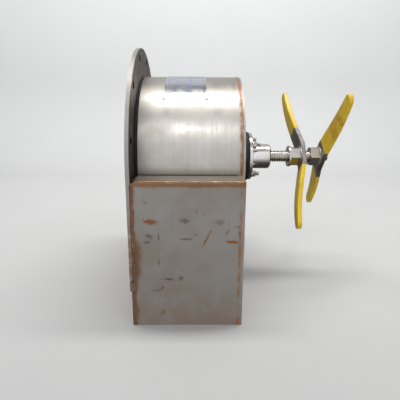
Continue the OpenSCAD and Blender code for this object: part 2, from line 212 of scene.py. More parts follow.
def roughBump(tree, surface, height, strength, distance):
    node = tree.nodes.new("ShaderNodeBump")
    node.inputs["Strength"].default_value = strength
    node.inputs["Distance"].default_value = distance
    put(tree, height, node.inputs["Height"])
    put(tree, node.outputs[0], surface.inputs["Normal"])


def dress(material, *names):
    for name in names:
        mesh = nodes[name].data
        mesh.materials.clear()
        mesh.materials.append(material)
        mesh.polygons.foreach_set("material_index", np.zeros(len(mesh.polygons), dtype=np.int32))


def give(piece, material):
    piece.data.materials.append(material)


drumLook = {
    "metal": (0.60, 0.57, 0.53),
    # the next tone is painted shade, laid on the drum near the plate and over its top
    "paintedShade": (0.36, 0.33, 0.29),
    "rust": (0.30, 0.13, 0.045),
    "roughness": 0.36,
    "brushing": 0.10,
}


def drumSteel():
    material, tree, surface, place = startMaterial("drum_stainless")
    x, y, z = axes(tree, place)
    shellStart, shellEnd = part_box("drum_shell")[0].x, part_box("drum_shell")[1].x
    clouds = grain(tree, place, 14, 4, 0.6)
    streaks = grain(tree, mapped(tree, place, scale=(420, 5, 5)), 1, 2, 0.6)
    fine = grain(tree, mapped(tree, place, scale=(900, 60, 60)), 1, 2, 0.5)
    specks = grain(tree, place, 260, 2, 0.5)
    colour = tint(tree, fade(tree, clouds, 0.35, 0.75), drumLook["metal"], (0.50, 0.475, 0.42))
    colour = tint(tree, fade(tree, streaks, 0.45, 0.8, 0, 0.35), colour, (0.40, 0.37, 0.32))
    # painted shade: darker and browner towards the mounting plate and over the top, where less light falls
    shadeNearPlate = times(tree, fade(tree, x, shellStart + 0.040, shellStart), fade(tree, clouds, 0.2, 0.7, 0.4, 1.0))
    colour = tint(tree, times(tree, shadeNearPlate, 0.75), colour, drumLook["paintedShade"])
    shadeOverTop = fade(tree, z, 0.095, 0.165)
    colour = tint(tree, times(tree, shadeOverTop, 0.7), colour, drumLook["paintedShade"])
    # a thin heat and rust line where the end plate is welded on
    wander = grain(tree, place, 30, 3, 0.6)
    seam = fade(tree, x, shellEnd - 0.007, shellEnd - 0.0025)
    seam = times(tree, seam, fade(tree, wander, 0.40, 0.62, 0.25, 1))
    colour = tint(tree, seam, colour, drumLook["rust"])
    soot = times(tree, fade(tree, x, shellEnd - 0.030, shellEnd), 0.25)
    colour = tint(tree, soot, colour, (0.34, 0.29, 0.24))
    # painted shade: darker at the drum's foot, in the crease along the shoulders
    foot = times(tree, fade(tree, z, 0.004, -0.010), 0.5)
    colour = tint(tree, foot, colour, (0.30, 0.26, 0.22))
    colour = tint(tree, fade(tree, specks, 0.68, 0.76, 0, 0.4), colour, (0.20, 0.16, 0.13))
    put(tree, colour, surface.inputs["Base Color"])
    surface.inputs["Metallic"].default_value = 0.9
    surface.inputs["Coat Weight"].default_value = 0.25
    surface.inputs["Coat Roughness"].default_value = 0.15
    worn = fade(tree, clouds, 0.3, 0.7, drumLook["roughness"] - 0.05, drumLook["roughness"] + 0.10)
    worn = plus(tree, worn, times(tree, seam, 0.3))
    put(tree, plus(tree, worn, fade(tree, streaks, 0.4, 0.8, 0, 0.08)), surface.inputs["Roughness"])
    relief = plus(tree, times(tree, clouds, 1.5), plus(tree, fine, times(tree, streaks, 0.6)))
    roughBump(tree, surface, relief, drumLook["brushing"], 0.0004)
    return material


chuteLook = {
    "metal": (0.345, 0.325, 0.295),
    "warm": (0.32, 0.28, 0.235),
    "rust": (0.34, 0.145, 0.05),
    "brown": (0.17, 0.10, 0.055),
    "ochre": (0.26, 0.17, 0.06),
    "roughness": 0.46,
    "frontY": -218 * mm,
    "stainDepth": 20 * mm,
}

# stains on the front wall: X, Z, half width, half height in mm, turn in degrees, strength, tone
frontStains = [
    (39, -79, 15, 7, 8, 0.95, "rust"),
    (97, -77, 14, 6, 0, 0.55, "brown"),
    (155, -79, 15, 6, 0, 0.35, "brown"),
    (36, -104, 11, 4, 20, 0.65, "brown"),
    (33, -115, 7, 3, -15, 0.6, "brown"),
    (52, -107, 1.6, 10, 0, 0.75, "brown"),
    (52, -153, 1.6, 9, -4, 0.7, "brown"),
    (99, -109, 14, 3, 0, 0.7, "brown"),
    (115, -102, 5, 2.5, 10, 0.5, "brown"),
    (133, -109, 3.2, 20, 27, 0.95, "ochre"),
    (168, -98, 3, 8, 30, 0.6, "rust"),
    (178, -115, 14, 3.6, 6, 1.0, "rust"),
    (189, -104, 3, 10, -8, 0.8, "rust"),
    (184, -88, 9, 2.6, 8, 0.6, "rust"),
    (116, -60, 1.5, 4, 15, 0.7, "brown"),
    (128, -65, 5, 1.6, -20, 0.4, "brown"),
    (67, -183, 13, 2.8, 6, 0.75, "brown"),
    (90, -181, 7, 6, 0, 0.6, "brown"),
    (47, -204, 18, 2.2, -4, 0.6, "brown"),
    (58, -199, 4, 3, 0, 0.6, "brown"),
    (58, -247, 7, 7, 0, 0.7, "rust"),
    (30, -46, 7, 4, 0, 0.3, "brown"),
]


def chuteSteel(name, stained):
    material, tree, surface, place = startMaterial(name)
    x, y, z = axes(tree, place)
    clouds = grain(tree, place, 11, 4, 0.6)
    blotch = grain(tree, mapped(tree, place, shift=(3, 1, 2)), 28, 4, 0.65)
    streaks = grain(tree, mapped(tree, place, scale=(260, 260, 6)), 1, 3, 0.6)
    specks = grain(tree, place, 330, 2, 0.6)
    colour = tint(tree, fade(tree, clouds, 0.35, 0.7), chuteLook["metal"], chuteLook["warm"])
    colour = tint(tree, fade(tree, blotch, 0.5, 0.8, 0, 0.4), colour, (0.36, 0.365, 0.355))
    colour = tint(tree, fade(tree, streaks, 0.5, 0.85, 0, 0.3), colour, (0.27, 0.245, 0.21))
    # darker and browner towards the bottom in patches: partly painted shade, partly grime
    low = times(tree, fade(tree, z, -0.165, -0.250), fade(tree, blotch, 0.30, 0.60))
    colour = tint(tree, times(tree, low, 0.55), colour, (0.30, 0.215, 0.15))
    dots = times(tree, fade(tree, specks, 0.63, 0.70), fade(tree, z, -0.02, -0.25, 0.25, 1.0))
    colour = tint(tree, times(tree, dots, 0.6), colour, chuteLook["brown"])
    stain = None
    breakUp = grain(tree, place, 120, 4, 0.7)
    wobble = times(tree, minus(tree, breakUp, 0.5), 2.4)
    if stained:
        for sx, sz, halfX, halfZ, turn, strength, tone in frontStains:
            centre = (sx * mm, chuteLook["frontY"], sz * mm)
            size = (halfX * mm, chuteLook["stainDepth"], halfZ * mm)
            mask = spot(tree, place, centre, size, math.radians(turn), wobble)
            mask = times(tree, mask, strength)
            colour = tint(tree, mask, colour, chuteLook[tone])
            stain = mask if stain is None else calc(tree, "MAXIMUM", stain, mask)
    # rust creeping in from the welded edges: the plate side, the top seam and the end seam
    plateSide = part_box("chute_front_wall")[0].x
    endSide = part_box("chute_end_wall")[0].x
    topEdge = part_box("chute_front_wall")[1].z
    # the plate side's band is widest halfway down
    wide = fade(tree, calc(tree, "ABSOLUTE", minus(tree, z, -0.150)), 0.060, 0.010, 0.006, 0.017)
    creep = plus(tree, wide, times(tree, minus(tree, blotch, 0.5), 0.026))
    left = calc(tree, "DIVIDE", minus(tree, x, plateSide), creep)
    left = fade(tree, left, 1.1, 0.3)
    leftStrength = times(tree, left, 0.85)
    leftTone = tint(tree, fade(tree, breakUp, 0.35, 0.62), chuteLook["rust"], chuteLook["brown"])
    colour = tint(tree, leftStrength, colour, leftTone)
    belowTop = plus(tree, minus(tree, topEdge, z), times(tree, minus(tree, blotch, 0.5), 0.010))
    top = fade(tree, belowTop, 0.0085, 0.0035)
    colour = tint(tree, times(tree, top, 0.85), colour, (0.36, 0.19, 0.09))
    right = fade(tree, calc(tree, "ABSOLUTE", minus(tree, x, endSide - 0.001)), 0.0040, 0.0010)
    right = times(tree, right, fade(tree, blotch, 0.42, 0.62))
    colour = tint(tree, times(tree, right, 0.9), colour, chuteLook["rust"])
    put(tree, colour, surface.inputs["Base Color"])
    surface.inputs["Metallic"].default_value = 0.75
    dirty = calc(tree, "MAXIMUM", left, top)
    if stain is not None:
        dirty = calc(tree, "MAXIMUM", dirty, stain)
    rough = fade(tree, clouds, 0.3, 0.7, chuteLook["roughness"], chuteLook["roughness"] + 0.12)
    rough = plus(tree, rough, times(tree, dirty, 0.25))
    put(tree, rough, surface.inputs["Roughness"])
    roughBump(tree, surface, plus(tree, clouds, times(tree, plus(tree, breakUp, streaks), 0.4)), 0.12, 0.0005)
    return material


plateLook = {
    "metal": (0.34, 0.32, 0.295),
    "pale": (0.42, 0.39, 0.36),
    # the next tone is painted shade, laid on the plate's inner face beside the drum
    "paintedShadeBlack": (0.012, 0.011, 0.010),
    # the next tone is painted shade, laid in the bolt holes
    "holeShade": (0.008, 0.008, 0.008),
    "holeCircle": 200 * mm,
    "holeCount": 12,
    "holeFade": (7.8 * mm, 7.1 * mm),
}


def plateSteel():
    material, tree, surface, place = startMaterial("plate_stainless")
    x, y, z = axes(tree, place)
    clouds = grain(tree, place, 18, 5, 0.65)
    blotch = grain(tree, place, 70, 4, 0.6)
    # painted shade: the inner face, turned away from the light, is darker and browner in patches
    inner = fade(tree, x, 0.0060, 0.0078)
    colour = tint(tree, fade(tree, clouds, 0.3, 0.7), plateLook["metal"], plateLook["pale"])
    dark = tint(tree, fade(tree, blotch, 0.4, 0.7), (0.17, 0.15, 0.13), (0.32, 0.28, 0.24))
    colour = tint(tree, times(tree, inner, fade(tree, clouds, 0.25, 0.6, 0.6, 0.95)), colour, dark)
    low = times(tree, fade(tree, z, -0.02, -0.16), fade(tree, blotch, 0.35, 0.60))
    colour = tint(tree, times(tree, low, 0.8), colour, (0.25, 0.135, 0.065))
    # painted shade and painted reflection: the inner face is black beside the drum, standing for its shadow and its
    # reflection of the dark drum
    beside = times(tree, fade(tree, z, 0.150, 0.110), fade(tree, z, -0.030, -0.012))
    beside = times(tree, beside, fade(tree, blotch, 0.30, 0.42, 0.75, 0.97))
    colour = tint(tree, times(tree, inner, beside), colour, plateLook["paintedShadeBlack"])
    # painted shade: the walls of the bolt holes are black, standing for the shade inside them; the angle folds into one
    # half step, so that the distance to the nearest hole centre comes out the same for every hole
    turnAngle = calc(tree, "ARCTAN2", y, z)
    step = 2 * math.pi / plateLook["holeCount"]
    along = calc(tree, "PINGPONG", plus(tree, turnAngle, 10 * step), step / 2)
    across = times(tree, minus(tree, step / 2, along), plateLook["holeCircle"])
    radius = calc(tree, "SQRT", plus(tree, times(tree, y, y), times(tree, z, z)))
    outward = minus(tree, radius, plateLook["holeCircle"])
    away = calc(tree, "SQRT", plus(tree, times(tree, across, across), times(tree, outward, outward)))
    colour = tint(tree, fade(tree, away, *plateLook["holeFade"]), colour, plateLook["holeShade"])
    put(tree, colour, surface.inputs["Base Color"])
    surface.inputs["Metallic"].default_value = 0.8
    put(tree, fade(tree, clouds, 0.3, 0.7, 0.42, 0.58), surface.inputs["Roughness"])
    roughBump(tree, surface, plus(tree, clouds, times(tree, blotch, 0.4)), 0.15, 0.0006)
    return material


def shoulderSteel():
    material, tree, surface, place = startMaterial("shoulder_stainless")
    x, y, z = axes(tree, place)
    clouds = grain(tree, place, 22, 4, 0.6)
    streaks = grain(tree, mapped(tree, place, scale=(8, 160, 160)), 1, 3, 0.6)
    colour = tint(tree, fade(tree, clouds, 0.35, 0.7), (0.33, 0.30, 0.26), (0.25, 0.22, 0.18))
    colour = tint(tree, fade(tree, streaks, 0.5, 0.8, 0, 0.3), colour, (0.42, 0.39, 0.34))
    ragged = plus(tree, calc(tree, "ABSOLUTE", y), times(tree, minus(tree, clouds, 0.5), 0.02))
    outer = fade(tree, ragged, 0.199, 0.212)
    colour = tint(tree, times(tree, outer, 0.85), colour, (0.31, 0.165, 0.08))
    put(tree, colour, surface.inputs["Base Color"])
    surface.inputs["Metallic"].default_value = 0.85
    put(tree, fade(tree, clouds, 0.3, 0.7, 0.40, 0.55), surface.inputs["Roughness"])
    roughBump(tree, surface, clouds, 0.1, 0.0004)
    return material


def weldSteel(name, bright, rust, share):
    material, tree, surface, place = startMaterial(name)
    clouds = grain(tree, place, 60, 4, 0.65)
    fine = grain(tree, place, 400, 2, 0.6)
    colour = tint(tree, fade(tree, clouds, 0.62 - share * 0.35, 0.80 - share * 0.35), bright, rust)
    colour = tint(tree, fade(tree, fine, 0.55, 0.75, 0, 0.35), colour, (0.16, 0.10, 0.06))
    put(tree, colour, surface.inputs["Base Color"])
    surface.inputs["Metallic"].default_value = 0.8
    put(tree, fade(tree, clouds, 0.3, 0.7, 0.34, 0.60), surface.inputs["Roughness"])
    roughBump(tree, surface, fine, 0.15, 0.0002)
    return material


def brightSteel(name, metal, roughness, ringed, darker=0.3):
    # turned steel: fine rings round the spindle axis where ringed, and light handling marks
    material, tree, surface, place = startMaterial(name)
    clouds = grain(tree, place, 40, 3, 0.6)
    rings = grain(tree, mapped(tree, place, scale=(1500, 12, 12) if ringed else (160, 160, 160)), 1, 2, 0.5)
    colour = tint(tree, fade(tree, clouds, 0.4, 0.75, 0, darker), metal, (0.30, 0.26, 0.22))
    put(tree, colour, surface.inputs["Base Color"])
    surface.inputs["Metallic"].default_value = 1.0
    rough = plus(tree, fade(tree, clouds, 0.3, 0.75, roughness, roughness + 0.12), times(tree, rings, 0.06))
    put(tree, rough, surface.inputs["Roughness"])
    roughBump(tree, surface, rings, 0.12, 0.00015)
    return material


def blackRubber(name, tone=(0.012, 0.012, 0.012), roughness=0.55):
    material, tree, surface, place = startMaterial(name)
    dust = grain(tree, place, 55, 4, 0.65)
    fine = grain(tree, place, 700, 2, 0.5)
    colour = tint(tree, fade(tree, dust, 0.55, 0.8, 0, 0.5), tone, (0.07, 0.062, 0.055))
    put(tree, colour, surface.inputs["Base Color"])
    put(tree, fade(tree, dust, 0.3, 0.7, roughness - 0.1, roughness + 0.15), surface.inputs["Roughness"])
    roughBump(tree, surface, plus(tree, dust, times(tree, fine, 0.3)), 0.2, 0.0003)
    return material


def softMetal(name, metal, roughness, metallic=1.0):
    material, tree, surface, place = startMaterial(name)
    clouds = grain(tree, place, 50, 4, 0.6)
    weave = grain(tree, place, 600, 2, 0.5)
    colour = tint(tree, fade(tree, clouds, 0.35, 0.75, 0, 0.4), metal, tuple(c * 0.6 for c in metal))
    put(tree, colour, surface.inputs["Base Color"])
    surface.inputs["Metallic"].default_value = metallic
    put(tree, fade(tree, clouds, 0.3, 0.7, roughness, roughness + 0.12), surface.inputs["Roughness"])
    roughBump(tree, surface, weave, 0.15, 0.0002)
    return material


namePlateLook = {
    "aluminium": (0.83, 0.84, 0.84),
    "ink": (0.02, 0.06, 0.42),
    "lineWidth": 0.9 * mm,
    "border": 5 * mm,
    "arc": 105 * mm,
    "rowHeight": 11 * mm,
    "columns": (0.30, 0.62),
}


def namePlateMetal():
    # polished aluminium with an empty rating table printed on it: a border, rows and two column lines
    material, tree, surface, place = startMaterial("name_plate_aluminium")
    low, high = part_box("name_plate")
    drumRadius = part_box("end_plate")[1].z
    x, y, z = axes(tree, place)
    around = times(tree, calc(tree, "ARCTAN2", z, times(tree, y, -1.0)), drumRadius)
    startArc = math.atan2(low.z, -low.y) * drumRadius
    endArc = startArc + namePlateLook["arc"]
    line = namePlateLook["lineWidth"] / 2

    def lineAt(value, position):
        return fade(tree, calc(tree, "ABSOLUTE", minus(tree, value, position)), line * 1.3, line * 0.7)

    inset = namePlateLook["border"]

    def between(value, start, end):
        rising = fade(tree, value, start + inset - line, start + inset)
        return times(tree, rising, fade(tree, value, end - inset + line, end - inset))

    inside = times(tree, between(x, low.x, high.x), between(around, startArc, endArc))
    ink = lineAt(x, low.x + inset)
    for position in (high.x - inset, *(low.x + share * (high.x - low.x) for share in namePlateLook["columns"])):
        ink = calc(tree, "MAXIMUM", ink, lineAt(x, position))
    rows = int((endArc - startArc - 2 * inset) / namePlateLook["rowHeight"])
    for row in range(rows + 1):
        position = startArc + inset + row * (endArc - startArc - 2 * inset) / rows
        ink = calc(tree, "MAXIMUM", ink, lineAt(around, position))
    ink = times(tree, ink, inside)
    clouds = grain(tree, place, 45, 4, 0.6)
    scratches = grain(tree, mapped(tree, place, scale=(1200, 20, 20)), 1, 2, 0.5)
    colour = tint(tree, fade(tree, clouds, 0.45, 0.75, 0, 0.3), namePlateLook["aluminium"], (0.55, 0.53, 0.50))
    colour = tint(tree, times(tree, ink, 0.85), colour, namePlateLook["ink"])
    put(tree, colour, surface.inputs["Base Color"])
    put(tree, fade(tree, ink, 0.0, 1.0, 1.0, 0.1), surface.inputs["Metallic"])
    rough = plus(tree, fade(tree, clouds, 0.3, 0.7, 0.14, 0.26), times(tree, ink, 0.2))
    put(tree, rough, surface.inputs["Roughness"])
    roughBump(tree, surface, plus(tree, clouds, times(tree, scratches, 0.3)), 0.05, 0.0003)
    return material


leverForm = {
    "reach": 164 * mm,
    "thickness": 9.5 * mm,
    "hubWidth": 44 * mm,
    "midWidth": 37 * mm,
    "tipWidth": 21 * mm,
    "edgeRadius": 1.8 * mm,
    "flat": (36 / 2 / math.cos(math.radians(30)) + 1) * mm,
}

# bend: how far the tips leave the flat hub along X; bareUp and bareDown: where the paint starts on
# the upper and lower arm, measured from the spindle axis; worn: a brown patch on the upper arm
levers = [
    {"name": "lock_lever", "nut": "lock_nut", "body": "lock_nut_set", "bend": -22 * mm, "angle": 52,
     "hole": 12.5 * mm, "bareUp": 60 * mm, "bareDown": 31 * mm, "worn": False},
    {"name": "hand_lever", "nut": "hand_nut", "body": "spindle_set", "bend": 13 * mm, "angle": 130,
     "hole": 8 * mm, "bareUp": 30 * mm, "bareDown": 44 * mm, "worn": True},
]


def leverPlan(count):
    # outline of both arms as a closed curve of (u, v), with outward normals; the half width is a
    # quadratic through the hub, middle and tip widths, and each tip is a half circle
    form = leverForm
    a, b, c = form["hubWidth"] / 2, form["midWidth"] / 2, form["tipWidth"] / 2
    curve = 2 * a + 2 * c - 4 * b
    slope = c - a - curve
    tipStart = 1 - c / form["reach"]
    tipRadius = a + slope * tipStart + curve * tipStart ** 2
    s = np.linspace(0, tipStart, count)
    edge = np.stack([s * form["reach"], a + slope * s + curve * s ** 2], axis=1)
    turnAngle = np.linspace(np.pi / 2, 0, count // 2)[1:]
    tipU = tipStart * form["reach"] + tipRadius * np.cos(turnAngle)
    tip = np.stack([tipU, tipRadius * np.sin(turnAngle)], axis=1)
    quarter = np.vstack([edge, tip])
    lower = quarter[::-1][1:] * (1, -1)
    right = np.vstack([quarter, lower])[:-1]
    outline = np.vstack([right, -right])
    ahead = np.roll(outline, -1, axis=0) - np.roll(outline, 1, axis=0)
    normal = np.stack([-ahead[:, 1], ahead[:, 0]], axis=1)
    normal /= np.linalg.norm(normal, axis=1)[:, None]
    return outline, normal, tipStart * form["reach"]


def leverSurface(x0, bend, degrees):
    # the outline carried through a rounded edge profile, its faces closed on the middle line,
    # then each point is lifted along X by a quarter sine of its distance from the flat hub
    form = leverForm
    outline, normal, spine = leverPlan(40)
    middle = np.stack([np.clip(outline[:, 0], -spine, spine), np.zeros(len(outline))], axis=1)
    r = form["edgeRadius"]
    half = form["thickness"] / 2
    arc = np.linspace(0, np.pi / 2, 6)
    rows = [(middle, half)]
    rows.append(((outline - normal * r) * 0.5 + middle * 0.5, half))
    rows += [(outline - normal * r * (1 - math.sin(k)), half - r * (1 - math.cos(k))) for k in arc]
    rows += [(outline - normal * r * (1 - math.sin(k)), -half + r * (1 - math.cos(k))) for k in arc[::-1]]
    rows.append(((outline - normal * r) * 0.5 + middle * 0.5, -half))
    rows.append((middle, -half))
    plan = np.stack([row[0] for row in rows])
    height = np.array([row[1] for row in rows])[:, None]
    along = np.abs(plan[..., 0])
    lift = bend * np.sin(np.pi / 2 * np.clip((along - form["flat"]) / (form["reach"] - form["flat"]), 0, 1))
    turn = math.radians(degrees)
    x = x0 + half + height + lift
    y = plan[..., 0] * math.cos(turn) - plan[..., 1] * math.sin(turn)
    z = plan[..., 0] * math.sin(turn) + plan[..., 1] * math.cos(turn)
    return np.stack([x, y, z], axis=-1)


def cutHole(piece, cutterGrid):
    cutter = addSurface("cutter", [(cutterGrid, False, True)], "housing", 32)
    change = piece.modifiers.new("bore", "BOOLEAN")
    change.operation = "DIFFERENCE"
    change.object = cutter
    change.solver = "EXACT"
    bpy.context.view_layer.update()
    cutMesh = bpy.data.meshes.new_from_object(piece.evaluated_get(bpy.context.evaluated_depsgraph_get()))
    piece.modifiers.clear()
    piece.data = cutMesh
    cutMesh.set_sharp_from_angle(angle=math.radians(32))
    bpy.data.objects.remove(cutter)


def leverPaint(name, degrees, bareUp, bareDown, wornUp):
    # worn yellow paint from where each arm leaves the hub to its tip, bare steel between
    material, tree, surface, place = startMaterial(name)
    turn = math.radians(degrees)
    x, y, z = axes(tree, place)
    along = plus(tree, times(tree, y, math.cos(turn)), times(tree, z, math.sin(turn)))
    across = minus(tree, times(tree, z, math.cos(turn)), times(tree, y, math.sin(turn)))
    clouds = grain(tree, place, 26, 4, 0.65)
    chips = grain(tree, place, 140, 4, 0.7)
    fine = grain(tree, place, 500, 2, 0.6)
    ragged = times(tree, minus(tree, clouds, 0.5), 0.022)
    upper = fade(tree, plus(tree, along, ragged), bareUp - 0.0015, bareUp + 0.0015)
    downward = plus(tree, times(tree, along, -1.0), ragged)
    lower = fade(tree, downward, bareDown - 0.0015, bareDown + 0.0015)
    paint = calc(tree, "MAXIMUM", upper, lower)
    paint = times(tree, paint, fade(tree, chips, 0.70, 0.66))
    yellow = tint(tree, fade(tree, clouds, 0.35, 0.7), (0.78, 0.53, 0.012), (0.66, 0.45, 0.02))
    yellow = tint(tree, fade(tree, fine, 0.6, 0.75, 0, 0.4), yellow, (0.35, 0.24, 0.04))
    if wornUp:
        patch = times(tree, fade(tree, along, 0.060, 0.090), fade(tree, along, 0.150, 0.115))
        patch = times(tree, patch, fade(tree, clouds, 0.42, 0.60))
        yellow = tint(tree, times(tree, patch, 0.75), yellow, (0.42, 0.19, 0.02))
    smudge = fade(tree, grain(tree, mapped(tree, place, shift=(4, 2, 1)), 45, 4, 0.7), 0.52, 0.75, 0, 0.55)
    yellow = tint(tree, smudge, yellow, (0.27, 0.19, 0.045))
    steel = tint(tree, fade(tree, clouds, 0.35, 0.65), (0.36, 0.32, 0.30), (0.22, 0.195, 0.19))
    colour = tint(tree, paint, steel, yellow)
    put(tree, colour, surface.inputs["Base Color"])
    put(tree, fade(tree, paint, 0.3, 0.7, 0.85, 0.0), surface.inputs["Metallic"])
    rough = plus(tree, fade(tree, paint, 0.3, 0.7, 0.42, 0.36), times(tree, smudge, 0.4))
    put(tree, rough, surface.inputs["Roughness"])
    relief = plus(tree, times(tree, paint, 0.8), times(tree, clouds, 0.5))
    roughBump(tree, surface, relief, 0.35, 0.0004)
    return material


def makeLevers():
    far = 30 * mm
    for lever in levers:
        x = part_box(lever["nut"])[1].x
        name = lever["name"]
        surface = leverSurface(x, lever["bend"], lever["angle"])
        blade = addSurface(name + "_blade", [(surface, False, True)], lever["body"])
        cutHole(blade, turned([(x - far, 0), (x - far, lever["hole"]), (x + far, lever["hole"]), (x + far, 0)]))
        paint = leverPaint(name + "_paint", lever["angle"], lever["bareUp"], lever["bareDown"], lever["worn"])
        give(blade, paint)
        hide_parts(name)


threadForm = {
    "crestRadius": 12 * mm,
    "pitch": 5 * mm,
    "depth": 1.9 * mm,
    "crest": 0.30,
    "root": 0.26,
    "start": 104 * mm,
}


def threadDepth(x, angle, pitch, depth, crest, root):
    # right-hand thread: phase = x / pitch - angle / 2 pi; flat crest, straight flanks, flat root
    phase = np.mod(x / pitch - angle / (2 * np.pi), 1.0)
    fromCrest = np.abs(phase - 0.5) * 2
    flank = np.clip((fromCrest - crest) / (1 - crest - root), 0, 1)
    return depth * flank


def makeSpindle():
    # one turned grid: out of the centre of the pilot end, past the collar, along the thread,
    # out to the square and back in along the tapped hole
    form = threadForm
    low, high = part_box("spindle")
    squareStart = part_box("hand_nut")[1].x
    crestRadius = form["crestRadius"]
    collarRadius = high.z
    columns = 64
    a = np.linspace(0, 2 * np.pi, columns, endpoint=False)
    bevel = 0.4 * mm
    collar = (74.5 * mm, 84.5 * mm)
    plain = [(low.x, 0), (low.x, crestRadius - bevel), (low.x + bevel, crestRadius), (collar[0], crestRadius),
             (collar[0], collarRadius - bevel), (collar[0] + bevel, collarRadius), (collar[1] - bevel, collarRadius),
             (collar[1], collarRadius - bevel), (collar[1], crestRadius), (form["start"] - 2 * mm, crestRadius)]
    head = turned(plain, columns)
    x = np.arange(form["start"], squareStart - 0.2 * mm, form["pitch"] / 10)[:, None] * np.ones(columns)
    runOut = np.clip((x - form["start"]) / (6 * mm), 0, 1) * np.clip((squareStart - x) / (1.5 * mm), 0, 1)
    depth = threadDepth(x, a[None, :], form["pitch"], form["depth"], form["crest"], form["root"])
    radius = crestRadius - runOut * depth
    body = np.stack([x, radius * np.cos(a), radius * np.sin(a)], axis=-1)
    halfSquare = 8 * mm
    square = halfSquare / np.maximum(np.abs(np.cos(a)), np.abs(np.sin(a)))
    square = np.minimum(square, crestRadius - bevel)

    def ringAt(position, radii):
        return np.stack([np.full(columns, position), radii * np.cos(a), radii * np.sin(a)], axis=-1)[None]

    hole = np.full(columns, 5.05 * mm)
    rows = [head, body, ringAt(squareStart, np.full(columns, crestRadius - bevel)), ringAt(squareStart, square),
            ringAt(high.x, square), ringAt(high.x, hole), ringAt(366 * mm, hole), ringAt(366 * mm, hole * 0)]
    spindle = addSurface("spindle_screw", [(np.concatenate(rows), False, True)], "spindle_set", 40)
    give(spindle, brightSteel("spindle_steel", (0.62, 0.58, 0.54), 0.20, True, 0.5))
    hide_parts("spindle")


def makeStuds():
    low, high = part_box("bushing_studs")
    circle = 43 * mm
    radius = 4 * mm
    pitch = 1.25 * mm
    columns = 24
    a = np.linspace(0, 2 * np.pi, columns, endpoint=False)
    x = np.arange(low.x + 0.6 * mm, high.x - 1.0 * mm, pitch / 6)[:, None] * np.ones(columns)
    r = radius - threadDepth(x, a[None, :], pitch, 0.62 * mm, 0.2, 0.2)
    grids = []
    for k in range(4):
        turn = math.radians(50 + 90 * k)
        centre = np.array([0, circle * math.cos(turn), circle * math.sin(turn)])
        body = np.stack([x, r * np.cos(a), r * np.sin(a)], axis=-1)
        start = turned([(low.x, 0), (low.x, radius - 0.7 * mm)], columns)
        end = turned([(high.x, radius - 1.1 * mm), (high.x, 0)], columns)
        grids.append((np.concatenate([start, body, end]) + centre, False, True))
    studs = addSurface("bushing_stud_threads", grids, "housing", 45)
    give(studs, brightSteel("stud_steel", (0.55, 0.52, 0.48), 0.22, False, 0.6))
    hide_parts("bushing_studs")


